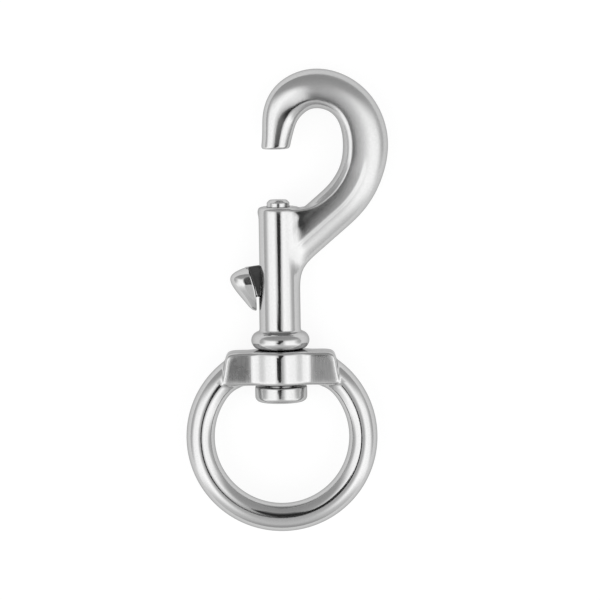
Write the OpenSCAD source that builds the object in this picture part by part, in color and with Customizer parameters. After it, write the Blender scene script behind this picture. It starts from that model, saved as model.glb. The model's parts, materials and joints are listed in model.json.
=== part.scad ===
// Swivel snap hook: a cast hook with a spring-loaded sliding bolt, on a swivelling eye.
// It lies flat: +Y runs from the eye to the hook, +Z is up, out of the plane of the hook.
// The origin is the centre of the eye ring, on the swivel axis.

/* [Swivel eye] */
// Clear width inside the ring
eye_inside_d = 26.1; // [21.7:0.1:32]
// Thickness of the ring's round bar
ring_bar_d = 5.5; // [4.5:0.1:6.6]
// Height of the hub along the swivel axis
hub_h = 6.8; // [5.6:0.1:8.2]
// Width of the hub across its top
hub_top_w = 21; // [17.8:0.1:25]
// Slope of the hub's two ends, in degrees
hub_end_slope = 9; // [0:1:14]
// Diameter of the round boss in the middle of the hub
hub_boss_d = 10.8; // [9:0.1:11.2]
// How far the boss's end faces stand out of the hub's top and underside
boss_proud = 0.1; // [0.05:0.05:0.4]
// Cover of the hub's flat sides over the ring's bar
hub_cover = 0.45; // [0.1:0.05:0.9]
// How much each flat side of the hub draws in from the middle to its ends
hub_draw = 0.35; // [0:0.05:0.8]
// Rounding of the hub's edges and corners
hub_edge_r = 0.9; // [0.4:0.1:1.4]

/* [Swivel pin] */
// Diameter of the shank that the eye turns on
pin_shank_d = 6; // [5.4:0.1:6.8]
// Diameter of the head under the hub
pin_head_d = 10.1; // [8.6:0.1:12]
// Height of the head
pin_head_h = 2.7; // [2:0.1:4]
// Rounding of the head's lower edge
pin_head_edge_r = 1.1; // [0.2:0.1:1.6]
// Diameter of the spigot that is pressed into the collar
spigot_d = 5; // [4.6:0.1:5.3]
// Length of the spigot
spigot_len = 3.4; // [2.4:0.1:4.2]
// End play left between the hub and the head
swivel_play = 0.7; // [0.2:0.05:1.2]

/* [Barrel and collar] */
// Largest diameter of the collar bead
collar_d = 11.3; // [10:0.1:13]
// Height of the collar bead
collar_h = 3.5; // [2.8:0.1:4.4]
// Diameter of the barrel
barrel_d = 8; // [7.2:0.1:9.6]
// Length of the barrel from the hub to its flat top
barrel_len = 27.7; // [25:0.1:33]
// Rounding of the barrel's top edge
barrel_edge_r = 0.7; // [0.2:0.1:0.8]

/* [Lock bolt] */
// Diameter of the bolt
bolt_d = 4.4; // [3.7:0.1:4.8]
// Length of the bolt
bolt_len = 19.2; // [16:0.1:20]
// How far the drawn-back bolt stands out of the barrel
bolt_proud = 1.3; // [0.4:0.1:2.5]
// Chamfer on the bolt's end
bolt_chamfer = 0.5; // [0.1:0.1:1]

/* [Thumb lever] */
// Radius of the thumb piece at its widest
thumb_r = 4; // [3.3:0.1:4.8]
// Length of the thumb piece, from its top to its tip
thumb_len = 8.6; // [7.2:0.1:10.2]
// Width of the thumb piece across its flat sides
thumb_w = 6.4; // [5.2:0.1:7.6]
// Lean of the thumb piece towards the barrel at its tip, in degrees
thumb_lean = 9.5; // [0:0.5:10]
// Distance from the barrel to the top of the thumb piece's flat back
thumb_stand_off = 1.9; // [1.6:0.1:3.2]
// Thickness of the neck that runs in the slot
neck_t = 1.8; // [1.5:0.1:2.6]
// Height of the neck, along the slot
neck_h = 6.2; // [4.6:0.1:6.6]
// Diameter of the stem that is pressed into the bolt
stem_d = 1.7; // [1.2:0.1:2]

/* [Spring] */
// Diameter of the spring wire
wire_d = 0.5; // [0.3:0.05:0.55]
// Number of turns
spring_turns = 9; // [6:1:9]

/* [Hook] */
// Gap between the drawn-back bolt and the hook's tip
gate_gap = 9.8; // [8:0.1:12]
// Width of the bar at the tip
tip_w = 5.5; // [4.5:0.1:6.6]
// Width of the bar over the crown
crown_w = 7.6; // [6.4:0.1:9.1]
// Width of the bar at the back of the hook, where it is widest
belly_w = 8.7; // [7.3:0.1:10.4]
// Width of the bar where it runs down to the barrel
neck_w = 8.4; // [7:0.1:10]
// Depth of the bar, front to back
bar_depth = 7.6; // [6.4:0.1:8.8]
// How far the thickest line of the bar lies towards the inside, as a share of half its width
bar_lean = 0.4; // [0:0.05:0.6]
// How far the middle of the tip lies off the swivel axis, on the side away from the back
tip_offset = 0.35; // [0:0.05:0.8]
// Lean of the straight tip from the barrel's axis, in degrees
tip_lean = 8.5; // [0:0.5:14]
// Length of the straight tip
tip_straight = 5.8; // [3:0.1:7]
// Rounding of the tip's edge
tip_edge_r = 0.6; // [0.2:0.1:1]
// Radius of the crown's centre line
crown_r = 7.3; // [6.1:0.1:8.8]
// Turn of the crown, in degrees
crown_turn = 87; // [73:1:95]
// Radius of the shoulder's centre line, beyond the crown
shoulder_r = 9.1; // [7.6:0.1:10.9]
// Turn of the shoulder, in degrees
shoulder_turn = 58; // [48:1:70]
// Radius of the centre line down the back
back_r = 12.8; // [10.7:0.1:15.4]
// Radius of the centre line as it turns in to the barrel
neck_r = 16.1; // [13.4:0.1:19.3]
// Radius of the reverse curve that joins the barrel
root_r = 16.4; // [13.7:0.1:19.7]

/* [Fits] */
// Radial clearance of the running fits
running_fit = 0.05; // [0.02:0.01:0.1]
// Clearance between the slot and the neck that runs in it
slot_fit = 0.15; // [0.05:0.05:0.3]
// Clearance left at an end stop or between a turning face and its seat
stop_gap = 0.05; // [0.02:0.01:0.1]

/* [Hidden] */

$fn = 96;
HULL_FN = 32;                        // sides of the circles that a hull joins
BALL_FN = 16;                        // sides of the balls at the corners of the hub
SWEEP_SIDES = 28;                    // points round the bar of the hook
SWEEP_STEP = 6;                      // degrees of turn between two rings of the bar
STRAIGHT_STEPS = 4;                  // rings along the straight tip
EDGE_STEP = 22.5;                    // degrees between two rings round the tip's edge
WIRE_SIDES = 8;                      // points round the spring wire
TURN_STEPS = 16;                     // rings in each turn of the spring
OVER = 1;                            // how far a cutter runs past the face it cuts

// The ring's bar enters each end of the hub near the hub's underside, and hides its own end there.
ring_r = (eye_inside_d + ring_bar_d) / 2;
entry_in = 0.34;                     // from the top corner in to the bar's end, in bar thicknesses
entry_up = 0.53;                     // from the underside up to the bar's end, in bar thicknesses
entry_x = hub_top_w / 2 - entry_in * ring_bar_d;
entry_drop = hub_h - entry_up * ring_bar_d;
entry_angle = asin(entry_x / ring_r);
hub_top = entry_drop + ring_r * cos(entry_angle);
hub_bottom = hub_top - hub_h;
hub_bottom_w = hub_top_w + 2 * hub_h * tan(hub_end_slope);
hub_end_depth = ring_bar_d + 2 * hub_cover;

// Heights along the swivel axis, from the hub up to the tip of the hook
seat = hub_top + stop_gap;
spigot_top = seat + spigot_len;
barrel_top = hub_top + barrel_len;
bolt_top = barrel_top + bolt_proud;
bolt_bottom = bolt_top - bolt_len;
tip_y = bolt_top + gate_gap;
bolt_travel = gate_gap - stop_gap;
bolt_room = gate_gap / 2;            // height over the barrel that is kept clear round the bolt

// The neck rides at the bolt's lower end, and the slot is as long as the neck and its travel.
neck_rise = 0.4;                     // from the bolt's lower end up to the neck
neck_y = bolt_bottom + neck_rise + neck_h / 2;
slot_w = neck_t + 2 * slot_fit;
slot_low = neck_y - neck_h / 2 - slot_fit;
slot_high = neck_y + neck_h / 2 + bolt_travel + slot_fit;
stem_wall = 0.6;                     // metal left between the stem's hole and the bolt's far side
stem_end = bolt_d / 2 - stem_wall;
thumb_back = 0.75;                   // radius of the thumb piece's rounded tip
thumb_shoulder = 2;                  // radius of its upper corner
thumb_crown = 0.3;                   // how far its upper corner lies below its top
thumb_peak = 0.05;                   // radius of its top, on the axis
thumb_drop = 0.3;                    // from the neck's upper end down to the thumb piece's top
neck_sink = 0.3;                     // how deep the neck runs into the thumb piece
thumb_x = barrel_d / 2 + thumb_stand_off;
thumb_y = neck_y + neck_h / 2 - thumb_drop;

// A station of the hook's centre line is [x, y, heading], and a turn to the right is positive.
function along(s, len) = [s[0] + len * cos(s[2]), s[1] + len * sin(s[2]), s[2]];
function round_bend(s, r, turn) =
    let (h = s[2] - turn)
    [s[0] + r * (sin(s[2]) - sin(h)), s[1] + r * (cos(h) - cos(s[2])), h];

tip_station = [-tip_offset, tip_y, 90 - tip_lean];
crown_station = along(tip_station, tip_straight);
shoulder_station = round_bend(crown_station, crown_r, crown_turn);
back_station = round_bend(shoulder_station, shoulder_r, shoulder_turn);
back_turn = back_station[2] + 90;
neck_station = round_bend(back_station, back_r, back_turn);
// The neck turns until the reverse curve can bring the line down on to the barrel's own axis.
neck_turn = acos((root_r - neck_station[0] + neck_r) / (neck_r + root_r));
root_station = round_bend(neck_station, neck_r, neck_turn);

// Each bend is [first station, radius, turn]. The straight tip is the first of them, with no radius.
BENDS = [
    [tip_station, 0, 0],
    [crown_station, crown_r, crown_turn],
    [shoulder_station, shoulder_r, shoulder_turn],
    [back_station, back_r, back_turn],
    [neck_station, neck_r, neck_turn],
    [root_station, -root_r, -neck_turn]
];

function bend_len(b) = b[1] == 0 ? tip_straight : b[1] * b[2] * PI / 180;
function steps_in(b) = b[1] == 0 ? STRAIGHT_STEPS : ceil(abs(b[2]) / SWEEP_STEP);
function place_on(b, t) = b[1] == 0 ? along(b[0], t * tip_straight) : round_bend(b[0], b[1], t * b[2]);
function len_before(i) = i == 0 ? 0 : len_before(i - 1) + bend_len(BENDS[i - 1]);

crown_start = len_before(1);
crown_end = len_before(2);
crown_mid = (crown_start + crown_end) / 2;
neck_start = len_before(4);
root_start = len_before(5);
neck_mid = (neck_start + root_start) / 2;
arm_len = len_before(6);
root_inset = 0.1;                    // how far the bar's end lies inside the barrel's wall
root_w = barrel_d - 2 * root_inset;

// Rises smoothly from 0 at a to 1 at b.
function ease(s, a, b) = let (t = max(0, min(1, (s - a) / (b - a)))) t * t * (3 - 2 * t);
function width_at(s) =
    tip_w
    + (crown_w - tip_w) * ease(s, 0, crown_mid)
    + (belly_w - crown_w) * ease(s, crown_end, neck_start)
    + (neck_w - belly_w) * ease(s, neck_start, neck_mid)
    + (root_w - neck_w) * ease(s, root_start, arm_len);
function depth_at(s) =
    tip_w
    + (bar_depth - tip_w) * ease(s, crown_start, crown_end)
    + (root_w - bar_depth) * ease(s, root_start, arm_len);
function lean_at(s) = bar_lean * (ease(s, crown_start, neck_start) - ease(s, neck_mid, arm_len));

// The section is two half ellipses that meet on the thickest line, the blunt one on the inside.
function section_point(s, inset, a) =
    let (
        half = width_at(s) / 2,
        lean = lean_at(s),
        reach = half * (cos(a) > 0 ? 1 + lean : 1 - lean)
    )
    [(reach - inset) * cos(a) - half * lean, (depth_at(s) / 2 - inset) * sin(a)];

// A ring of points across the bar. The rings turn level with the tip's flat end.
function ring(st, s, inset) =
    let (across = 90 + (st[2] - 90) * ease(s, 0, tip_straight))
    [
        for (k = [0:SWEEP_SIDES - 1])
            let (p = section_point(s, inset, 360 * k / SWEEP_SIDES))
            [st[0] - p[0] * sin(across), st[1] + p[0] * cos(across), p[1]]
    ];

// The quarter round at the tip's edge, then every bend of the centre line
ARM_RINGS = [
    for (a = [0:EDGE_STEP:90 - EDGE_STEP])
        let (s = tip_edge_r * (1 - cos(a)))
        ring(along(tip_station, s), s, tip_edge_r * (1 - sin(a))),
    for (i = [0:len(BENDS) - 1], j = [1:steps_in(BENDS[i])])
        let (t = j / steps_in(BENDS[i]))
        ring(place_on(BENDS[i], t), len_before(i) + t * bend_len(BENDS[i]), 0)
];

// Skins a list of rings, each with the same number of points.
module skin(rings) {
    sides = len(rings[0]);
    last = len(rings) - 1;
    polyhedron(
        points = [for (r = rings, p = r) p],
        faces = [
            [for (k = [0:sides - 1]) k],
            [for (k = [sides - 1:-1:0]) last * sides + k],
            for (i = [0:last - 1], k = [0:sides - 1])
                let (n = (k + 1) % sides)
                [i * sides + k, (i + 1) * sides + k, (i + 1) * sides + n, i * sides + n]
        ],
        convexity = 6
    );
}

// Turns what is drawn along +Z to run along +Y from the height y.
module upright(y) {
    translate([0, y, 0]) rotate([-90, 0, 0]) children();
}

// Turns what is drawn along +Z to run along -X from the swivel axis, at the height y.
module sideways(y) {
    translate([0, y, 0]) rotate([0, -90, 0]) children();
}

// A slot outline along the swivel axis, drawn for sideways()
module slot_outline(length, width) {
    square([width, length - width], center = true);
    for (end = [-1, 1]) translate([0, end * (length - width) / 2]) circle(d = width);
}

// One casting: the hook's arm, the barrel and the collar bead, bored out for the bolt
module hook_body() {
    bead_r = collar_h / 2;
    color("silver")
    difference() {
        union() {
            upright(seat) rotate_extrude() {
                square([barrel_d / 2 - barrel_edge_r, barrel_top - seat]);
                square([barrel_d / 2, barrel_top - seat - barrel_edge_r]);
                translate([barrel_d / 2 - barrel_edge_r, barrel_top - seat - barrel_edge_r])
                    circle(barrel_edge_r);
                square([collar_d / 2 - bead_r, collar_h]);
                translate([collar_d / 2 - bead_r, bead_r]) circle(bead_r);
            }
            skin(ARM_RINGS);
        }
        upright(seat - OVER) cylinder(d = spigot_d, h = spigot_len + OVER);
        upright(spigot_top) cylinder(r = bolt_d / 2 + running_fit, h = barrel_len + bolt_room);
        upright(barrel_top) cylinder(r = bolt_d / 2 + barrel_edge_r, h = bolt_room);
        sideways((slot_low + slot_high) / 2)
            linear_extrude(barrel_d) slot_outline(slot_high - slot_low, slot_w);
    }
}

// A turned rod with a chamfered end and a blind cross hole for the lever's stem
module lock_bolt() {
    r = bolt_d / 2;
    color("gainsboro")
    difference() {
        upright(bolt_bottom) rotate_extrude() polygon([
            [0, 0],
            [r, 0],
            [r, bolt_len - bolt_chamfer],
            [r - bolt_chamfer, bolt_len],
            [0, bolt_len]
        ]);
        sideways(neck_y) translate([0, 0, -stem_end]) cylinder(d = stem_d, h = bolt_d + OVER);
    }
}

// Half a blunt cone with a flat back and two tapering flat sides
module thumb_piece() {
    low = thumb_len - thumb_back;
    intersection() {
        rotate_extrude() intersection() {
            hull() {
                translate([thumb_r - thumb_shoulder, thumb_crown + thumb_shoulder])
                    circle(thumb_shoulder, $fn = HULL_FN);
                translate([0, low]) circle(thumb_back, $fn = HULL_FN);
                circle(thumb_peak, $fn = HULL_FN);
            }
            square([thumb_r, thumb_len]);
        }
        rotate([90, 0, 0]) translate([0, 0, -thumb_r]) linear_extrude(2 * thumb_r)
            translate([-thumb_r, 0]) square([thumb_r, thumb_len]);
        rotate([90, 0, 90]) translate([0, 0, -thumb_r]) linear_extrude(2 * thumb_r) polygon([
            [-thumb_w / 2, -OVER],
            [thumb_w / 2, -OVER],
            [thumb_back, thumb_len],
            [-thumb_back, thumb_len]
        ]);
    }
}

// A casting: the thumb piece, the flat neck in the slot and the stem in the bolt
module lever_form() {
    reach = thumb_x - bolt_d / 2 * cos(asin(neck_t / bolt_d));
    translate([-thumb_x, thumb_y, 0]) rotate([90, 0, 0]) rotate([0, thumb_lean, 0])
        thumb_piece();
    difference() {
        sideways(neck_y) translate([0, 0, thumb_x - reach]) linear_extrude(reach + neck_sink)
            slot_outline(neck_h, neck_t);
        upright(bolt_bottom - OVER) cylinder(d = bolt_d, h = bolt_len);
    }
    sideways(neck_y) translate([0, 0, -stem_end + stop_gap])
        cylinder(d = stem_d, h = stem_end + bolt_d / 2);
}

module thumb_lever() {
    color("lightgray") lever_form();
}

// A compression spring between the spigot and the bolt, almost closed while the bolt is drawn back
module bolt_spring() {
    low = spigot_top + wire_d / 2 + stop_gap;
    high = bolt_bottom - wire_d / 2 - stop_gap;
    coil_r = bolt_d / 2 - wire_d / 2 - running_fit;
    steps = spring_turns * TURN_STEPS;
    color("dimgray")
    skin([
        for (i = [0:steps])
            let (turn = 360 * i / TURN_STEPS, y = low + (high - low) * i / steps)
            [
                for (k = [0:WIRE_SIDES - 1])
                    let (
                        a = 360 * k / WIRE_SIDES,
                        out = coil_r + wire_d / 2 * cos(a)
                    )
                    [out * sin(turn), y + wire_d / 2 * sin(a), out * cos(turn)]
            ]
    ]);
}

// A turned pin: the head, the shank that the hub turns on and the spigot pressed into the collar
module swivel_pin() {
    head_low = hub_bottom - swivel_play - pin_head_h;
    edge = pin_head_edge_r;
    color("gainsboro")
    upright(head_low) rotate_extrude() {
        translate([0, edge]) square([pin_head_d / 2, pin_head_h - edge]);
        square([pin_head_d / 2 - edge, pin_head_h]);
        translate([pin_head_d / 2 - edge, edge]) circle(edge);
        square([pin_shank_d / 2, seat - head_low]);
        square([spigot_d / 2, spigot_top - head_low]);
    }
}

// The block of the hub: flat sides that draw in a little towards its sloping ends
module hub_block() {
    mid_z = hub_end_depth / 2 + hub_draw - hub_edge_r;
    end_z = hub_end_depth / 2 - hub_edge_r;
    high = hub_top - boss_proud - hub_edge_r;
    low = hub_bottom + boss_proud + hub_edge_r;
    hull()
    for (side = [-1, 1], face = [-1, 1]) {
        translate([side * (hub_top_w / 2 - hub_edge_r), high, face * end_z])
            sphere(hub_edge_r, $fn = BALL_FN);
        translate([side * (hub_bottom_w / 2 - hub_edge_r), low, face * end_z])
            sphere(hub_edge_r, $fn = BALL_FN);
        translate([side * hub_boss_d / 2, high, face * mid_z])
            sphere(hub_edge_r, $fn = BALL_FN);
        translate([side * hub_boss_d / 2, low, face * mid_z])
            sphere(hub_edge_r, $fn = BALL_FN);
    }
}

// One casting: the ring and the bored hub that turns on the pin
module swivel_eye() {
    color("lightsteelblue")
    difference() {
        union() {
            rotate([0, 0, 90 + entry_angle]) rotate_extrude(angle = 360 - 2 * entry_angle)
                translate([ring_r, 0]) circle(d = ring_bar_d);
            hub_block();
            upright(hub_bottom) rotate_extrude() {
                translate([0, hub_edge_r]) square([hub_boss_d / 2, hub_h - 2 * hub_edge_r]);
                square([hub_boss_d / 2 - hub_edge_r, hub_h]);
                for (y = [hub_edge_r, hub_h - hub_edge_r])
                    translate([hub_boss_d / 2 - hub_edge_r, y]) circle(hub_edge_r);
            }
        }
        upright(hub_bottom - OVER) cylinder(r = pin_shank_d / 2 + running_fit, h = hub_h + 2 * OVER);
    }
}

hook_body();
lock_bolt();
thumb_lever();
bolt_spring();
swivel_pin();
swivel_eye();
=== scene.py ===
import json

import bpy
import numpy as np
from mathutils import Matrix, Vector


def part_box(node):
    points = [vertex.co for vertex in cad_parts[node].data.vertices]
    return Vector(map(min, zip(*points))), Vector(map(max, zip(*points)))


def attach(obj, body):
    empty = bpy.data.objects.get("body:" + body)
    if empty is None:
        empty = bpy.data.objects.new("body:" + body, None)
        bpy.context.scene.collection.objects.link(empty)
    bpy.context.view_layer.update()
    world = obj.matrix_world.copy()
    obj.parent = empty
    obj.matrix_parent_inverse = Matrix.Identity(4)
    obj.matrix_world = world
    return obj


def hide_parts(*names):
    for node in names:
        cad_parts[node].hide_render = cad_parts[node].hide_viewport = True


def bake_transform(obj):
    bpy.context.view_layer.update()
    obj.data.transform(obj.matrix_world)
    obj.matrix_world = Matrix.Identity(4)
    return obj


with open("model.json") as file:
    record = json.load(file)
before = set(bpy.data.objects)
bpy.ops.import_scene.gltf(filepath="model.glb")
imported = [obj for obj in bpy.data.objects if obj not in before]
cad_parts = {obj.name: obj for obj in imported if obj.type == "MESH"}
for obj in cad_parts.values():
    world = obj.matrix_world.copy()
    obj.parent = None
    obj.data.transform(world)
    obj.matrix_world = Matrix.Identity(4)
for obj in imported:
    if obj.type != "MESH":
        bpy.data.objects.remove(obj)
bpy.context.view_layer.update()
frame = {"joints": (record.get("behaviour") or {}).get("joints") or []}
MM = 0.001  # the shapes are worked out in millimetres, and the meshes are in metres


# ------------------------------------------------------------------ Hook body
# One stainless steel casting: the bent hook, the barrel that guides the bolt and the collar bead
# under it. It is bored for the bolt, slotted for the lever, and polished to a soft satin shine.

body_low, body_high = (Vector(corner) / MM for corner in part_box("hook_body"))
bolt_low, bolt_high = (Vector(corner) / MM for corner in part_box("lock_bolt"))
pin_low, pin_high = (Vector(corner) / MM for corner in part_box("swivel_pin"))

seat = body_low.y
bolt_r = bolt_high.x
bolt_proud = 1.3
barrel_top = bolt_high.y - bolt_proud
barrel_r = 4.0
barrel_edge_r = 0.9
collar_r = body_high.z
bead_r = 1.75
gate_gap = 9.8
tip_y = bolt_high.y + gate_gap
running_fit = 0.05

EDGE = 1.76  # the reach of smooth_max that rounds a square edge to a radius of 1


def smooth_min(a, b, reach):
    """The lesser of two fields, filled where they meet, as a cast fillet fills a corner."""
    near = np.maximum(reach - np.abs(a - b), 0) / reach
    return np.minimum(a, b) - near**3 * reach / 6


def smooth_max(a, b, reach):
    """The greater of two fields, with the edge where they meet rounded off."""
    return -smooth_min(-a, -b, reach)


# The hook's centre line from its tip to the barrel, as lengths and turns in degrees
LEAD = 2.0  # the line starts this far before the tip, where the flat end cuts it
tip_lean = 8.5
tip_straight = 5.5
crown_r, crown_turn = 7.15, 87
shoulder_r, shoulder_turn = 9.1, 58
back_r = 12.8
neck_r, neck_turn = 15.7, 49
back_turn = 180 - tip_lean - crown_turn - shoulder_turn
run_in = 15.1
STEP = 0.1  # between two stations of the line
SOFTEN = 1.2  # how far each change of bend is spread along the line

bends = [
    (LEAD + tip_straight, 0),
    (crown_r * np.radians(crown_turn), 1 / crown_r),
    (shoulder_r * np.radians(shoulder_turn), 1 / shoulder_r),
    (back_r * np.radians(back_turn), 1 / back_r),
    (neck_r * np.radians(neck_turn), 1 / neck_r),
    (run_in, 0),
]
ends = np.cumsum([length for length, _ in bends])
line_s = np.arange(0, ends[-1], STEP)
line_bend = np.array([bend for _, bend in bends])[np.searchsorted(ends, line_s, side="right")]
spread = np.exp(-0.5 * (np.arange(-4 * SOFTEN, 4 * SOFTEN + STEP, STEP) / SOFTEN) ** 2)
padded = np.pad(line_bend, len(spread) // 2, mode="edge")
line_bend = np.convolve(padded, spread / spread.sum(), mode="valid")[: len(line_s)]
turning = np.concatenate([[0], np.cumsum((line_bend[1:] + line_bend[:-1]) / 2 * STEP)])
line_heading = np.radians(90 - tip_lean) - turning
middle = (line_heading[1:] + line_heading[:-1]) / 2
line_x = np.concatenate([[0], np.cumsum(np.cos(middle) * STEP)])
line_y = np.concatenate([[0], np.cumsum(np.sin(middle) * STEP)])
tip_x = -0.35
line_x += tip_x - LEAD * np.cos(line_heading[0])
line_y += tip_y - LEAD * np.sin(line_heading[0])
line_s -= LEAD

tip_w, crown_w, belly_w, neck_w = 5.5, 7.6, 8.7, 8.4
bar_depth = 7.6
root_depth = 6.5
crown_lean, bar_lean, root_lean = 0.3, 0.54, 0.1
crest_soft = 1.0  # how gently the bar's crest is rounded
crest_edge, root_edge = 1.1, 1.5  # how softly the flat of the crest ends, along the arm and at its root
crest_tilt, crest_bow = 0.04, 0.004
crest_cut, root_cut = 0.035, 0.015  # polishing flattens the crest, more and more towards the barrel
tip_edge_r = 0.6
web_inset, web_drop = 1.5, 0.5  # the flat runs on to the barrel this far inside the saddle's edge
web_bend, web_edge = 4.0, 0.7
web_out = 0.4
web_sink = 0.14  # so that the web stays under the crest's own flat
web_rise, web_blend = 1.6, 0.6  # it comes up from this far below, and runs into the bar
belly_lag = 3  # the bar starts to widen this far after the crown
crown_start, crown_end, shoulder_end, neck_start, neck_end = ends[:5] - LEAD
neck_mid = (neck_start + neck_end) / 2


def ease(s, a, b):
    """Rises smoothly from 0 at a to 1 at b."""
    t = np.clip((s - a) / (b - a), 0, 1)
    return t * t * (3 - 2 * t)


def station(x, y):
    """For each point of the plane, its distance along the hook's line and its offset from it."""
    x, y = np.broadcast_arrays(x, y)
    px, py = x.ravel(), y.ravel()
    length2 = line_x**2 + line_y**2
    nearest = np.empty(len(px), int)
    for start in range(0, len(px), 4000):
        part = slice(start, start + 4000)
        away = length2 - 2 * (np.outer(px[part], line_x) + np.outer(py[part], line_y))
        nearest[part] = away.argmin(1)
    dx, dy = px - line_x[nearest], py - line_y[nearest]
    heading, bend = line_heading[nearest], line_bend[nearest]
    ahead = dx * np.cos(heading) + dy * np.sin(heading)
    aside = dy * np.cos(heading) - dx * np.sin(heading)
    ahead = ahead / np.maximum(1 + bend * aside, 0.2)
    ahead = np.where(nearest == len(line_s) - 1, np.maximum(ahead, -STEP), np.clip(ahead, -STEP, STEP))
    dx -= ahead * np.cos(heading) + bend * ahead**2 / 2 * np.sin(heading)
    dy -= ahead * np.sin(heading) - bend * ahead**2 / 2 * np.cos(heading)
    heading = heading - bend * ahead
    offset = dy * np.cos(heading) - dx * np.sin(heading)
    return (line_s[nearest] + ahead).reshape(x.shape), offset.reshape(x.shape)


def arm(x, y, z):
    """The bar of the hook: two half ellipses back to back, the blunt one on the inside."""
    s, offset = station(x, y)
    half = (
        tip_w
        + (crown_w - tip_w) * ease(s, 0, (crown_start + crown_end) / 2)
        + (belly_w - crown_w) * ease(s, crown_end + belly_lag, neck_start)
        + (neck_w - belly_w) * ease(s, neck_start, neck_mid)
    ) / 2
    depth = (
        tip_w
        + (bar_depth - tip_w) * ease(s, crown_start, crown_end)
        + (root_depth - bar_depth) * ease(s, neck_start, line_s[-1])
    ) / 2
    crown_mid = (crown_start + crown_end) / 2
    lean = crown_lean * ease(s, 2, crown_mid) + (bar_lean - crown_lean) * ease(s, crown_mid, shoulder_end)
    lean = lean - root_lean * ease(s, neck_start, line_s[-1])
    out, in_ = 1 / (half * (1 + lean)), 1 / (half * (1 - lean))
    side = offset + half * lean
    soft = np.hypot(side, crest_soft)
    w = (out + in_) / 2 * side + (out - in_) / 2 * soft
    slope = (out + in_) / 2 + (out - in_) / 2 * side / soft
    size = np.sqrt(w**2 + (z / depth) ** 2) + 1e-9
    bar = (size - 1) * size / np.hypot(w * slope, z / depth**2)
    flat = 1 - crest_cut * ease(s, crown_mid, shoulder_end) - root_cut * ease(s, neck_start, line_s[-1])
    crest = np.abs(z) - flat * depth + crest_tilt * side + crest_bow * side**2
    softly = crest_edge + (root_edge - crest_edge) * ease(s, shoulder_end, neck_mid)
    bar = smooth_max(bar, crest, softly)
    inner = smooth_min(web_inset - half - offset, y - barrel_top + web_drop, web_bend)
    inner = smooth_max(inner, offset - web_out, 2)
    web = smooth_max(inner, crest + web_sink, web_edge)
    web = web + web_rise * (1 - ease(s, shoulder_end, neck_mid))
    bar = smooth_min(bar, web, web_blend)
    end = np.where(s < crown_start, tip_y - y, -99)
    return smooth_max(smooth_max(bar, end, EDGE * tip_edge_r), s - line_s[-1], 1)


slot_w = 2.1
lever_low, lever_high = (Vector(corner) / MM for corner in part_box("thumb_lever"))
neck_h = 6.2
neck_rise = 0.4
slot_fit = 0.15
travel = frame["joints"][0]["range_m"][1] / MM
neck_y = bolt_low.y + neck_rise + neck_h / 2
slot_low = neck_y - neck_h / 2 - slot_fit
slot_high = neck_y + neck_h / 2 + travel + slot_fit
spigot_r = 2.5
bore_reach = 3.0
fillet = 3.6  # the cast fillet between the arm and the barrel
fillet_from, fillet_full = 0.4, 3.6  # it grows from nothing at the barrel's front to full at its side
least_fillet = 0.1
depth_fade, fade_from, fade_full = 0.5, 1.2, 3.0  # it is smaller where the arm and barrel run flush
top_fade, top_depth = 0.75, 2  # and at the barrel's mouth
root_x, root_below = -1.0, 4  # the arm's end, inside the barrel, cut only this far below the tip
mouth_clear = 0.6  # round the bolt, above the barrel
collar_fillet = 0.7
slot_edge_r = 0.2


def hook_field(x, y, z):
    """Below zero inside the casting, and about the distance to its surface in millimetres."""
    round_axis = np.hypot(x, z)
    barrel = smooth_max(round_axis - barrel_r, y - barrel_top, EDGE * barrel_edge_r)
    barrel = np.maximum(barrel, seat + bead_r - y)
    bead_y = seat + bead_r
    collar = np.hypot(np.maximum(round_axis - collar_r + bead_r, 0), y - bead_y) - bead_r
    reach = fillet * ease(x, fillet_from, fillet_full)
    reach = reach * (1 - depth_fade * ease(np.abs(z), fade_from, fade_full))
    reach = least_fillet + reach * (1 - top_fade * ease(y, barrel_top - top_depth, barrel_top))
    bar = smooth_max(arm(x, y, z), np.where(y < tip_y - root_below, root_x - x, -99), 2)
    solid = smooth_min(smooth_min(barrel, collar, collar_fillet), bar, reach)
    clear = np.maximum(round_axis - bolt_r - mouth_clear, barrel_top - y)
    bore = np.maximum(round_axis - bolt_r - running_fit, pin_high.y - y)
    hole = np.maximum(np.minimum(clear, bore), y - barrel_top - bore_reach)
    solid = smooth_max(solid, -hole, EDGE * slot_edge_r)
    middle, reach = (slot_low + slot_high) / 2, (slot_high - slot_low - slot_w) / 2
    slot = np.hypot(np.maximum(np.abs(y - middle) - reach, 0), z) - slot_w / 2
    return smooth_max(solid, -np.maximum(slot, x), EDGE * slot_edge_r)


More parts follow.
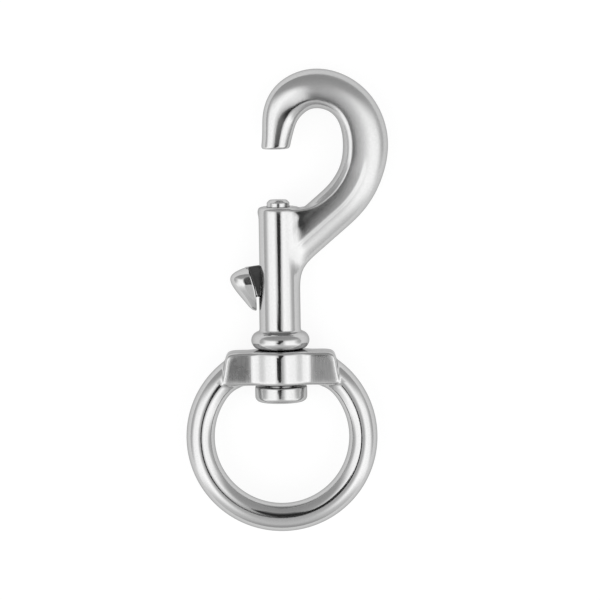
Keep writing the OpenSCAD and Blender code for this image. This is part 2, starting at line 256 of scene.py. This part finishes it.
def surface_of(field, low, high, pitch):
    """The surface where field is zero, as points, quads and outward normals.
    Each cell of a grid that it passes through gets one point, which is then moved on to it."""
    axes = [np.arange(a, b + pitch, pitch) for a, b in zip(low, high)]
    value = field(*np.meshgrid(*axes, indexing="ij", sparse=True))
    inside = value < 0
    cells = np.array(value.shape)
    numbers, places, loops = [], [], []
    for axis in range(3):
        first = tuple(slice(0, -1) if k == axis else slice(None) for k in range(3))
        second = tuple(slice(1, None) if k == axis else slice(None) for k in range(3))
        crossed = inside[first] != inside[second]
        at = np.argwhere(crossed)
        a, b = value[first][crossed], value[second][crossed]
        place = at.astype(float)
        place[:, axis] += a / (a - b)
        u, v = [k for k in range(3) if k != axis]
        four = []
        for du, dv in ((-1, -1), (0, -1), (0, 0), (-1, 0)):
            cell = at.copy()
            cell[:, u] += du
            cell[:, v] += dv
            four.append(np.ravel_multi_index(cell.T, cells))
        numbers += four
        places += [place] * 4
        loop = np.stack(four, 1)
        back = (a > 0) != (axis == 1)
        loop[back] = loop[back][:, ::-1]
        loops.append(loop)
    used, index = np.unique(np.concatenate(numbers), return_inverse=True)
    places = np.concatenate(places)
    count = np.bincount(index)
    points = np.stack([np.bincount(index, places[:, k]) / count for k in range(3)], 1)
    points = np.asarray(low) + points * pitch
    quads = np.searchsorted(used, np.concatenate(loops))
    for _ in range(3):
        slope = gradient(field, points)
        steep = (slope**2).sum(1, keepdims=True) + 1e-9
        step = field(*points.T)[:, None] * slope / steep
        points = points - np.clip(step, -pitch, pitch)
    slope = gradient(field, points)
    return points, quads, slope / np.linalg.norm(slope, axis=1, keepdims=True)


def gradient(field, points, reach=0.02):
    """The field's slope at each point."""
    slope = np.empty_like(points)
    for k in range(3):
        step = np.eye(3)[k] * reach
        slope[:, k] = (field(*(points + step).T) - field(*(points - step).T)) / (2 * reach)
    return slope


def casting(name, field, low, high, pitch):
    """A smooth object from a field, shaded with the field's own normals."""
    points, quads, normals = surface_of(field, low, high, pitch)
    mesh = bpy.data.meshes.new(name)
    mesh.from_pydata((points * MM).tolist(), [], quads.tolist())
    mesh.shade_smooth()
    mesh.normals_split_custom_set_from_vertices(normals.tolist())
    piece = bpy.data.objects.new(name, mesh)
    bpy.context.scene.collection.objects.link(piece)
    return piece


def satin_group():
    """Fine grain and faint polishing lines, for every piece of polished steel."""
    group = bpy.data.node_groups.new("satin_polish", "ShaderNodeTree")
    face = group.interface
    for name, kind, value in (
        ("Worn", "NodeSocketColor", (0.5, 0.5, 0.5, 1)),
        ("Clean", "NodeSocketColor", (0.6, 0.6, 0.6, 1)),
        ("Smooth", "NodeSocketFloat", 0.08),
        ("Rough", "NodeSocketFloat", 0.16),
        ("Streaks", "NodeSocketFloat", 0),
        ("Lines", "NodeSocketVector", (9000, 500, 9000)),
    ):
        face.new_socket(name, in_out="INPUT", socket_type=kind).default_value = value
    face.new_socket("Colour", in_out="OUTPUT", socket_type="NodeSocketColor")
    face.new_socket("Roughness", in_out="OUTPUT", socket_type="NodeSocketFloat")
    face.new_socket("Height", in_out="OUTPUT", socket_type="NodeSocketFloat")
    nodes, link = group.nodes, group.links.new
    given, made = nodes.new("NodeGroupInput"), nodes.new("NodeGroupOutput")
    place = nodes.new("ShaderNodeTexCoord").outputs["Object"]
    drawn = nodes.new("ShaderNodeMapping")
    link(place, drawn.inputs["Vector"])
    link(given.outputs["Lines"], drawn.inputs["Scale"])
    lines = nodes.new("ShaderNodeTexNoise")
    lines.inputs["Scale"].default_value = 1
    lines.inputs["Detail"].default_value = 3
    link(drawn.outputs["Vector"], lines.inputs["Vector"])
    grain = nodes.new("ShaderNodeTexNoise")
    grain.inputs["Scale"].default_value = 4500
    grain.inputs["Detail"].default_value = 2
    link(place, grain.inputs["Vector"])
    cloud = nodes.new("ShaderNodeTexNoise")
    cloud.inputs["Scale"].default_value = 260
    cloud.inputs["Detail"].default_value = 4
    link(place, cloud.inputs["Vector"])
    shade = nodes.new("ShaderNodeMix")
    shade.data_type = "RGBA"
    mottle = nodes.new("ShaderNodeMix")
    link(given.outputs["Streaks"], mottle.inputs["Factor"])
    link(grain.outputs["Fac"], mottle.inputs["A"])
    link(lines.outputs["Fac"], mottle.inputs["B"])
    link(mottle.outputs["Result"], shade.inputs["Factor"])
    link(given.outputs["Worn"], shade.inputs["A"])
    link(given.outputs["Clean"], shade.inputs["B"])
    link(shade.outputs["Result"], made.inputs["Colour"])
    rough = nodes.new("ShaderNodeMix")
    link(cloud.outputs["Fac"], rough.inputs["Factor"])
    link(given.outputs["Smooth"], rough.inputs["A"])
    link(given.outputs["Rough"], rough.inputs["B"])
    link(rough.outputs["Result"], made.inputs["Roughness"])
    height = nodes.new("ShaderNodeMath")
    link(lines.outputs["Fac"], height.inputs[0])
    link(grain.outputs["Fac"], height.inputs[1])
    link(height.outputs[0], made.inputs["Height"])
    return group


satin = satin_group()


patchy = 0.4  # how much the polish varies over a piece


def steel(name, shade, roughness, depth, lines, contrast=0.12, streaks=0.0):
    """A steel with its own shade, polish, depth of grain in micrometres and lay of the lines."""
    made = bpy.data.materials.new(name)
    made.use_nodes = True
    nodes, link = made.node_tree.nodes, made.node_tree.links.new
    shader = nodes["Principled BSDF"]
    shader.inputs["Metallic"].default_value = 1
    shader.inputs["Specular Tint"].default_value = (0.55, 0.55, 0.55, 1)
    finish = nodes.new("ShaderNodeGroup")
    finish.node_tree = satin
    worn, clean = (1 - contrast) * shade, (1 + contrast) * shade
    finish.inputs["Worn"].default_value = (worn, worn, worn, 1)
    finish.inputs["Clean"].default_value = (clean, clean, clean, 1)
    finish.inputs["Streaks"].default_value = streaks
    finish.inputs["Smooth"].default_value = (1 - patchy) * roughness
    finish.inputs["Rough"].default_value = (1 + patchy) * roughness
    finish.inputs["Lines"].default_value = lines
    bump = nodes.new("ShaderNodeBump")
    bump.inputs["Distance"].default_value = depth * 1e-6
    link(finish.outputs["Colour"], shader.inputs["Base Color"])
    link(finish.outputs["Roughness"], shader.inputs["Roughness"])
    link(finish.outputs["Height"], bump.inputs["Height"])
    link(bump.outputs["Normal"], shader.inputs["Normal"])
    return made


# The arm is buffed less finely than the barrel, so it is duller away from the swivel's axis.
buff_from, buff_to, buff_duller = 2, 9, 0.13
cast_steel = steel("cast_steel", 0.56, 0.11, 3, (9000, 500, 9000))
nodes, link = cast_steel.node_tree.nodes, cast_steel.node_tree.links.new
place = nodes.new("ShaderNodeTexCoord")
axes = nodes.new("ShaderNodeSeparateXYZ")
link(place.outputs["Object"], axes.inputs[0])
buffed = nodes.new("ShaderNodeMapRange")
buffed.interpolation_type = "SMOOTHSTEP"
buffed.inputs["From Min"].default_value = buff_from * MM
buffed.inputs["From Max"].default_value = buff_to * MM
buffed.inputs["To Max"].default_value = buff_duller
link(axes.outputs["X"], buffed.inputs["Value"])
duller = nodes.new("ShaderNodeMath")
link(buffed.outputs["Result"], duller.inputs[0])
link(nodes["Group"].outputs["Roughness"], duller.inputs[1])
link(duller.outputs[0], nodes["Principled BSDF"].inputs["Roughness"])

MARGIN = 0.6  # of the grid round each casting
grid_pitch = 0.19
hook = casting(
    "hook_casting",
    hook_field,
    np.array(body_low) - MARGIN,
    np.array(body_high) + MARGIN,
    grid_pitch,
)
hook.data.materials.append(cast_steel)
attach(hook, "hook")
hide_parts("hook_body")


# --------------------------------------------------- Lock bolt and swivel pin
# Both are turned from bar and polished: the bolt is a rod with a bevelled end, and the pin has a
# rounded head under the hub, a shank that the eye turns on and a spigot pressed into the collar.


def turned(name, outline, sides=160):
    """A turned piece: its outline, as pairs of radius and height, spun round the swivel axis."""
    outline = np.array(outline)
    angle = 2 * np.pi * np.arange(sides) / sides
    rings = [
        np.stack([r * np.cos(angle), np.full(sides, y), r * np.sin(angle)], 1)
        for r, y in outline
    ]
    points = np.concatenate(rings)
    faces = [
        (i * sides + k, (i + 1) * sides + k, (i + 1) * sides + (k + 1) % sides, i * sides + (k + 1) % sides)
        for i in range(len(outline) - 1)
        for k in range(sides)
    ]
    faces.append(tuple(range(sides)))
    faces.append(tuple(reversed(range((len(outline) - 1) * sides, len(outline) * sides))))
    mesh = bpy.data.meshes.new(name)
    mesh.from_pydata((points * MM).tolist(), [], faces)
    mesh.shade_smooth()
    mesh.set_sharp_from_angle(angle=np.radians(32))
    piece = bpy.data.objects.new(name, mesh)
    bpy.context.scene.collection.objects.link(piece)
    return piece


def rounded(corners, steps=6):
    """An outline through corners given as (radius, height, rounding)."""
    points = []
    for i, (r, y, turn) in enumerate(corners):
        here = np.array([r, y], float)
        if not turn or i in (0, len(corners) - 1):
            points.append(here)
            continue
        before = np.array(corners[i - 1][:2]) - here
        after = np.array(corners[i + 1][:2]) - here
        before, after = before / np.linalg.norm(before), after / np.linalg.norm(after)
        half = np.arccos(np.clip(before @ after, -1, 1)) / 2
        centre = here + (before + after) / np.linalg.norm(before + after) * turn / np.sin(half)
        start = here + before * turn / np.tan(half) - centre
        finish = here + after * turn / np.tan(half) - centre
        total = np.pi - 2 * half
        for t in np.linspace(0, 1, steps + 1):
            a, b = np.sin((1 - t) * total) / np.sin(total), np.sin(t * total) / np.sin(total)
            points.append(centre + a * start + b * finish)
    return points


turned_steel = steel("turned_steel", 0.56, 0.14, 2, (800, 12000, 800))

bolt_bevel = 0.55
bolt = turned(
    "lock_bolt_rod",
    rounded(
        [
            (0.01, bolt_low.y, 0),
            (bolt_r, bolt_low.y, 0.2),
            (bolt_r, bolt_high.y - bolt_bevel, 0.3),
            (bolt_r - bolt_bevel, bolt_high.y, 0.3),
            (0.01, bolt_high.y, 0),
        ]
    ),
)
bolt.data.materials.append(turned_steel)
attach(bolt, "bolt")
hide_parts("lock_bolt")

pin_head_h = 3.05
pin_shank_r = 3.0
pin = turned(
    "swivel_pin_rivet",
    rounded(
        [
            (0.01, pin_low.y, 0),
            (pin_high.x, pin_low.y, 1.1),
            (pin_high.x, pin_low.y + pin_head_h, 0.25),
            (pin_shank_r, pin_low.y + pin_head_h, 0),
            (pin_shank_r, seat, 0),
            (spigot_r, seat, 0),
            (spigot_r, pin_high.y, 0.2),
            (0.01, pin_high.y, 0),
        ]
    ),
)
pin.data.materials.append(turned_steel)
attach(pin, "hook")
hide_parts("swivel_pin")


# ------------------------------------------------------------------- Bolt spring
# Round spring wire coiled to slide in the bore: open turns between two closed ends, left as they
# are cut, one resting on the pin's spigot and the other against the bolt.

wire_d = 0.5
stop_gap = 0.05
coil_r = bolt_r - wire_d / 2 - running_fit
coil_low = pin_high.y + wire_d / 2 + stop_gap
coil_high = bolt_low.y - wire_d / 2 - stop_gap
open_turns = 7.5
end_turns = 0.9  # of the closed end at each end of the coil
closed_pitch = 2.04  # of the wire's radius, so that the closed turns all but touch
coil_points, wire_sides = 420, 14


def coil_tree():
    """A wire swept along a coil whose turns lie close at both ends and open in between."""
    tree = bpy.data.node_groups.new("coil", "GeometryNodeTree")
    face = tree.interface
    for name, value in (
        ("Turns", open_turns + 2 * end_turns),
        ("End turns", end_turns),
        ("Coil radius", coil_r * MM),
        ("Wire radius", wire_d / 2 * MM),
        ("Low", coil_low * MM),
        ("High", coil_high * MM),
    ):
        face.new_socket(name, in_out="INPUT", socket_type="NodeSocketFloat").default_value = value
    face.new_socket("Wire", in_out="INPUT", socket_type="NodeSocketMaterial")
    face.new_socket("Geometry", in_out="OUTPUT", socket_type="NodeSocketGeometry")
    nodes, link = tree.nodes, tree.links.new
    given, made = nodes.new("NodeGroupInput"), nodes.new("NodeGroupOutput")

    def maths(operation, a, b=None, c=None):
        node = nodes.new("ShaderNodeMath")
        node.operation = operation
        for socket, value in zip(node.inputs, (a, b, c)):
            if value is None:
                continue
            if isinstance(value, (int, float)):
                socket.default_value = value
            else:
                link(value, socket)
        return node.outputs[0]

    line = nodes.new("GeometryNodeCurvePrimitiveLine")
    finely = nodes.new("GeometryNodeResampleCurve")
    link(line.outputs["Curve"], finely.inputs["Curve"])
    finely.inputs["Count"].default_value = coil_points
    along = nodes.new("GeometryNodeSplineParameter").outputs["Factor"]
    turn = maths("MULTIPLY", along, given.outputs["Turns"])
    angle = maths("MULTIPLY", turn, 2 * np.pi)
    x = maths("MULTIPLY", maths("SINE", angle), given.outputs["Coil radius"])
    z = maths("MULTIPLY", maths("COSINE", angle), given.outputs["Coil radius"])
    pitch = maths("MULTIPLY", given.outputs["Wire radius"], closed_pitch)
    close_low = maths("MINIMUM", turn, given.outputs["End turns"])
    left = maths("SUBTRACT", given.outputs["Turns"], turn)
    unclosed = maths("MINIMUM", left, given.outputs["End turns"])
    close_high = maths("SUBTRACT", given.outputs["End turns"], unclosed)
    closed = maths("MULTIPLY", maths("ADD", close_low, close_high), pitch)
    opened = maths("SUBTRACT", maths("SUBTRACT", turn, close_low), close_high)
    open_count = maths("SUBTRACT", given.outputs["Turns"], maths("MULTIPLY", given.outputs["End turns"], 2))
    length = maths("SUBTRACT", given.outputs["High"], given.outputs["Low"])
    closed_length = maths("MULTIPLY", maths("MULTIPLY", given.outputs["End turns"], 2), pitch)
    rise = maths("DIVIDE", maths("SUBTRACT", length, closed_length), open_count)
    climbed = maths("MULTIPLY_ADD", opened, rise, closed)
    y = maths("ADD", given.outputs["Low"], climbed)
    place = nodes.new("ShaderNodeCombineXYZ")
    for socket, value in zip(place.inputs, (x, y, z)):
        link(value, socket)
    bent = nodes.new("GeometryNodeSetPosition")
    link(finely.outputs["Curve"], bent.inputs["Geometry"])
    link(place.outputs[0], bent.inputs["Position"])
    section = nodes.new("GeometryNodeCurvePrimitiveCircle")
    section.inputs["Resolution"].default_value = wire_sides
    link(given.outputs["Wire radius"], section.inputs["Radius"])
    wire = nodes.new("GeometryNodeCurveToMesh")
    link(bent.outputs["Geometry"], wire.inputs["Curve"])
    link(section.outputs["Curve"], wire.inputs["Profile Curve"])
    wire.inputs["Fill Caps"].default_value = True
    whole = nodes.new("GeometryNodeRealizeInstances")
    link(wire.outputs["Mesh"], whole.inputs["Geometry"])
    smooth = nodes.new("GeometryNodeSetShadeSmooth")
    link(whole.outputs["Geometry"], smooth.inputs["Geometry"])
    coated = nodes.new("GeometryNodeSetMaterial")
    link(smooth.outputs["Geometry"], coated.inputs["Geometry"])
    link(given.outputs["Wire"], coated.inputs["Material"])
    link(coated.outputs["Geometry"], made.inputs["Geometry"])
    return tree


def grown(name, tree, **given):
    """The mesh object that a tree of geometry nodes makes."""
    seed = bpy.data.objects.new(name, bpy.data.meshes.new(name))
    bpy.context.scene.collection.objects.link(seed)
    maker = seed.modifiers.new("maker", "NODES")
    maker.node_group = tree
    for item in tree.interface.items_tree:
        if item.in_out == "INPUT" and item.name in given:
            maker[item.identifier] = given[item.name]
    bpy.context.view_layer.update()
    shaped = seed.evaluated_get(bpy.context.evaluated_depsgraph_get())
    mesh = bpy.data.meshes.new_from_object(shaped)
    seed.modifiers.remove(maker)
    seed.data = mesh
    mesh.name = name
    return seed


spring_wire = steel("spring_wire", 0.42, 0.24, 2, (3000, 3000, 3000))
spring = grown("bolt_spring_coil", coil_tree(), Wire=spring_wire)
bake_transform(spring)
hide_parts("bolt_spring")


# ----------------------------------------------------------------- Thumb lever
# A small casting: half a blunt cone with a flat back and two flat sides, on a flat neck that runs
# in the barrel's slot. Its stem is pressed into the bolt.

neck_t = 1.8
stem_r = 0.85
stem_end = bolt_r - 0.65
neck_fall = 0.17  # how steeply the neck's top edge drops away from the barrel
back_gap = 0.47  # between the barrel and the lever's lower end
back_lean = 0.31
back_y = neck_y + neck_h / 2 - 0.6
back_x = barrel_r + 1.9
shoulder_x, shoulder_y, shoulder_r = -7.45, neck_y + 0.2, 2.08
side_lean, top_lean = np.radians(38.9), np.radians(18)
heel_y = neck_y - 5.8
flat_half = 2.62
squash = 1.43  # the cone is this much narrower along Z than it stands out
flank_low_slope, flank_high_slope = 0.25, 0.12  # of the flat sides, towards the heel and the top
flank_draw, flank_x = 0.06, 6.5
shoulder_round, heel_round = 2.6, 1.2
neck_share = 0.84  # of the bolt's radius, where the neck's inner end lies


def lever_field(x, y, z):
    """Half of a leaning, flattened cone with two flat sides, then the neck and the stem."""
    back = smooth_min(-back_x + back_lean * (back_y - y), -barrel_r - back_gap, 1.0)
    out = np.hypot(np.maximum(back - x, 0), squash * z)
    round_x = back - out
    side = -(round_x - shoulder_x) * np.cos(side_lean) - (y - shoulder_y) * np.sin(side_lean)
    top = -(round_x - shoulder_x) * np.sin(top_lean) + (y - shoulder_y) * np.cos(top_lean)
    cone = smooth_max(side - shoulder_r, top - shoulder_r, shoulder_round * shoulder_r)
    cone = smooth_max(cone, heel_y - y, heel_round)
    low_flat = flat_half + flank_low_slope * (y - neck_y + 1)
    high_flat = flat_half + 0.1 - flank_high_slope * (y - neck_y)
    flank = np.abs(z) - np.minimum(low_flat, high_flat) + flank_draw * (x + flank_x)
    cone = smooth_max(smooth_max(cone, flank, EDGE * 0.12), x - back, EDGE * 0.2)
    ends = np.hypot(np.maximum(np.abs(y - neck_y) - (neck_h - neck_t) / 2, 0), z) - neck_t / 2
    neck = np.maximum(np.maximum(ends, back - 0.5 - x), x + bolt_r * neck_share)
    neck = np.maximum(neck, bolt_r - np.hypot(x, z))
    neck = smooth_max(neck, y - neck_y - neck_h / 2 - neck_fall * (x + barrel_r), 0.2)
    stem = np.maximum(np.hypot(y - neck_y, z) - stem_r, np.maximum(x - stem_end, -back_x - x))
    return smooth_min(smooth_min(cone, neck, 0.3), stem, 0.1)


lever_pitch = 0.08
lever = casting(
    "thumb_lever_casting",
    lever_field,
    np.array(lever_low) - MARGIN,
    np.array(lever_high) + MARGIN,
    lever_pitch,
)
lever.data.materials.append(cast_steel)
# a near-black steel, as painted shade on the lever's neck
lever.data.materials.append(steel("neck_painted_shade_steel", 0.1, 0.35, 4, (4000, 4000, 4000), 0.4))
# The neck is painted dark and dull: painted shade for the shadow that falls on it in the barrel's slot,
# between the lever and the barrel.
for face in lever.data.polygons:
    x, y, z = face.center / MM
    if x > -back_x + back_lean * (back_y - y) + 0.05 and abs(z) < neck_t / 2 + 0.3:
        face.material_index = 1
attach(lever, "bolt")
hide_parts("thumb_lever")


# ----------------------------------------------------------------- Swivel eye
# One stainless casting: a round-bar ring that runs up into a bored hub. The hub is a flat-sided
# block with a round boss in its middle, and its sides keep the fine lines of the belt.

eye_low, eye_high = (Vector(corner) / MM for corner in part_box("swivel_eye"))
bar_r = 2.75
ring_r = min(eye_high.x, -eye_low.y) - bar_r
hub_top, hub_h = eye_high.y, 6.8
hub_bottom = hub_top - hub_h
hub_top_w = 21.0
hub_slope = np.radians(9)
boss_r = eye_high.z
hub_end_depth = 2 * bar_r + 0.9
hub_draw = 0.05
hub_edge_r = 0.9
hub_corner_r = 1.6
boss_fillet = 2.4  # the flat sides sweep up into the boss
bar_fillet, inside_fillet = 0.5, 2.6  # the ring meets the hub crisply, but for the inside of the ring
under_from, under_to = 0.9, 0.7  # above and below the hub's lower edge
inset_from = 0.8  # from the ring's centre line inwards
bore_edge = 0.4
entry_share = 0.34  # the ring's centre line enters the hub this share of the bar inside its side
entry = np.arcsin((hub_top_w / 2 - entry_share * 2 * bar_r) / ring_r)


def eye_field(x, y, z):
    """The ring's bar, the block and the boss of the hub, run together, less the bore."""
    bar = np.hypot(np.hypot(x, y) - ring_r, z) - bar_r
    bar = np.maximum(bar, np.sin(entry) * y - np.cos(entry) * np.abs(x))
    end = (np.abs(x) - hub_top_w / 2) * np.cos(hub_slope) - (hub_top - y) * np.sin(hub_slope)
    draw = hub_draw * np.clip((hub_top_w / 2 - np.abs(x)) / (hub_top_w / 2 - boss_r), 0, 1)
    face = np.abs(z) - hub_end_depth / 2 - draw
    block = smooth_max(smooth_max(y - hub_top, end, EDGE * hub_corner_r), face, EDGE * hub_edge_r)
    round_axis = np.hypot(x, z)
    hub = smooth_min(block, round_axis - boss_r, boss_fillet)
    hub = smooth_max(hub, y - hub_top, EDGE * hub_edge_r)
    hub = smooth_max(hub, hub_bottom - y, EDGE * hub_edge_r)
    under = ease(-y, -hub_bottom - under_from, under_to - hub_bottom)
    under = under * ease(ring_r - np.hypot(x, y), inset_from, bar_r)
    solid = smooth_min(hub, bar, bar_fillet + inside_fillet * under)
    bore = np.maximum(round_axis - pin_shank_r - running_fit, np.abs(y - hub_top) - 2 * hub_h)
    return smooth_max(solid, -bore, bore_edge)


eye = casting(
    "swivel_eye_casting",
    eye_field,
    np.array(eye_low) - MARGIN,
    np.array(eye_high) + MARGIN,
    grid_pitch,
)
eye.data.materials.append(steel("ring_steel", 0.56, 0.09, 2, (5000, 5000, 5000)))
eye.data.materials.append(steel("brushed_steel", 0.44, 0.28, 5, (9000, 300, 300), 0.5, 0.8))
flank_low, flank_high = hub_bottom + 0.45, hub_top - 0.55
flank_side = boss_r + 0.4
flank_level = 0.96  # a face counts as flank if it points this nearly up or down
for face in eye.data.polygons:
    x, y, _ = face.center / MM
    if abs(x) > flank_side and flank_low < y < flank_high and abs(face.normal.z) > flank_level:
        face.material_index = 1
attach(eye, "eye")
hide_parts("swivel_eye")


# ------------------------------------------------------ Floor, light and view
# A pale floor under the snap, a soft surround that is bright to its left and right, a dark card
# high above it that the polished steel mirrors as a dark line, and the camera above it.

floor_z = body_low.z * MM
floor_mesh = bpy.data.meshes.new("floor")
floor_half = 3.0
floor_mesh.from_pydata(
    [(x * floor_half, y * floor_half, floor_z) for x, y in ((-1, -1), (1, -1), (1, 1), (-1, 1))],
    [],
    [(0, 1, 2, 3)],
)
floor = bpy.data.objects.new("floor", floor_mesh)
bpy.context.scene.collection.objects.link(floor)
floor_level = 0.85  # of white, as the camera and the steel see the floor
paper = bpy.data.materials.new("paper")
paper.use_nodes = True
nodes, link = paper.node_tree.nodes, paper.node_tree.links.new
nodes.remove(nodes["Principled BSDF"])
matt = nodes.new("ShaderNodeBsdfDiffuse")
matt.inputs["Color"].default_value = (0.2, 0.2, 0.2, 1)
glow = nodes.new("ShaderNodeEmission")
glow.inputs["Color"].default_value = (1, 1, 1, 1)
rays = nodes.new("ShaderNodeLightPath")
shown = nodes.new("ShaderNodeMath")
shown.operation = "MAXIMUM"
link(rays.outputs["Is Camera Ray"], shown.inputs[0])
link(rays.outputs["Is Glossy Ray"], shown.inputs[1])
whitened = nodes.new("ShaderNodeMath")
whitened.operation = "MAXIMUM"
link(shown.outputs[0], whitened.inputs[0])
link(rays.outputs["Is Transmission Ray"], whitened.inputs[1])
level = nodes.new("ShaderNodeMath")
level.operation = "MULTIPLY"
level.inputs[1].default_value = floor_level
link(whitened.outputs[0], level.inputs[0])
link(level.outputs[0], glow.inputs["Strength"])
both = nodes.new("ShaderNodeAddShader")
link(matt.outputs[0], both.inputs[0])
link(glow.outputs[0], both.inputs[1])
link(both.outputs[0], nodes["Material Output"].inputs["Surface"])
floor_mesh.materials.append(paper)

world = bpy.data.worlds.new("studio")
bpy.context.scene.world = world
world.use_nodes = True
nodes, link = world.node_tree.nodes, world.node_tree.links.new
sky = nodes["Background"]
toward = nodes.new("ShaderNodeTexCoord")
split = nodes.new("ShaderNodeSeparateXYZ")
link(toward.outputs["Generated"], split.inputs[0])


def ramp(value, low, high, stops):
    """A smooth run of greys over a value that goes from low to high."""
    scaled = nodes.new("ShaderNodeMapRange")
    scaled.inputs["From Min"].default_value = low
    scaled.inputs["From Max"].default_value = high
    link(value, scaled.inputs["Value"])
    greys = nodes.new("ShaderNodeValToRGB")
    link(scaled.outputs["Result"], greys.inputs["Fac"])
    greys.color_ramp.interpolation = "EASE"
    while len(greys.color_ramp.elements) < len(stops):
        greys.color_ramp.elements.new(0.5)
    for element, (place, grey) in zip(greys.color_ramp.elements, stops):
        element.position = (place - low) / (high - low)
        element.color = (grey, grey, grey, 1)
    return greys.outputs["Color"]


def mixed(operation, a, b):
    """Two greys put together by a maths node."""
    node = nodes.new("ShaderNodeMath")
    node.operation = operation
    link(a, node.inputs[0])
    link(b, node.inputs[1])
    return node.outputs[0]


sideways = nodes.new("ShaderNodeMath")
sideways.operation = "ABSOLUTE"
link(split.outputs["X"], sideways.inputs[0])
across = ramp(sideways.outputs[0], 0, 1, [(0.08, 0), (0.45, 1), (0.8, 0.9), (1, 0)])
lengthways = ramp(split.outputs["Y"], -1, 1, [(-0.8, 0), (-0.4, 1), (0.1, 1), (0.55, 0)])
room_stops = [(-1, 0.5), (-0.8, 0.8), (0, 0.62), (0.5, 0.52), (0.85, 0.45), (1, 0.42)]
room = ramp(split.outputs["Y"], -1, 1, room_stops)
link(mixed("ADD", mixed("MULTIPLY", across, lengthways), room), sky.inputs["Color"])

card_z = 100
card_black, card_grey = 0.015, 0.26  # its glow over the eye and barrel, and beyond the hook
grey_from, grey_to = 32, 66
card_mesh = bpy.data.meshes.new("card")
outline = [
    (-17, -22),
    (-2, -22),
    (2, -8),
    (4, 5),
    (20, 30),
    (22, 72),
    (-16, 72),
    (-13, 15),
    (-27, 13),
    (-27, -2),
    (-17, -4),
]
corners = [(x * MM, y * MM, card_z * MM) for x, y in outline]
card_mesh.from_pydata(corners, [], [tuple(range(len(outline)))])
card = bpy.data.objects.new("card", card_mesh)
bpy.context.scene.collection.objects.link(card)
black = bpy.data.materials.new("black_card")
black.use_nodes = True
nodes, link = black.node_tree.nodes, black.node_tree.links.new
shader = nodes["Principled BSDF"]
shader.inputs["Base Color"].default_value = (0.01, 0.01, 0.01, 1)
shader.inputs["Roughness"].default_value = 0.9
shader.inputs["Emission Strength"].default_value = 1
place = nodes.new("ShaderNodeTexCoord")
axes = nodes.new("ShaderNodeSeparateXYZ")
link(place.outputs["Object"], axes.inputs[0])
paler = nodes.new("ShaderNodeMapRange")
paler.interpolation_type = "SMOOTHSTEP"
paler.inputs["From Min"].default_value = grey_from * MM
paler.inputs["From Max"].default_value = grey_to * MM
paler.inputs["To Min"].default_value = card_black
paler.inputs["To Max"].default_value = card_grey
link(axes.outputs["Y"], paler.inputs["Value"])
link(paler.outputs["Result"], shader.inputs["Emission Color"])
card_mesh.materials.append(black)
card.visible_camera = False
card.visible_diffuse = False
card.visible_shadow = False

view_tilt = np.radians(6)
view_roll = np.radians(-0.94)
distance = 0.7
view_w = 116.04 * MM  # across the view, at the snap
sensor_w = 36
camera = bpy.data.cameras.new("camera")
camera.sensor_width = sensor_w
camera.lens = sensor_w / view_w * distance
camera.clip_end = 20
viewer = bpy.data.objects.new("camera", camera)
bpy.context.scene.collection.objects.link(viewer)
looked_at = Vector((3.93 * MM, 26.6 * MM, 0))
viewer.location = looked_at + distance * Vector((0, np.sin(view_tilt), np.cos(view_tilt)))
aimed = Matrix.Rotation(-view_tilt, 3, "X") @ Matrix.Rotation(view_roll, 3, "Z")
viewer.rotation_euler = aimed.to_euler()
bpy.context.scene.camera = viewer
bpy.context.scene.view_settings.view_transform = "Standard"
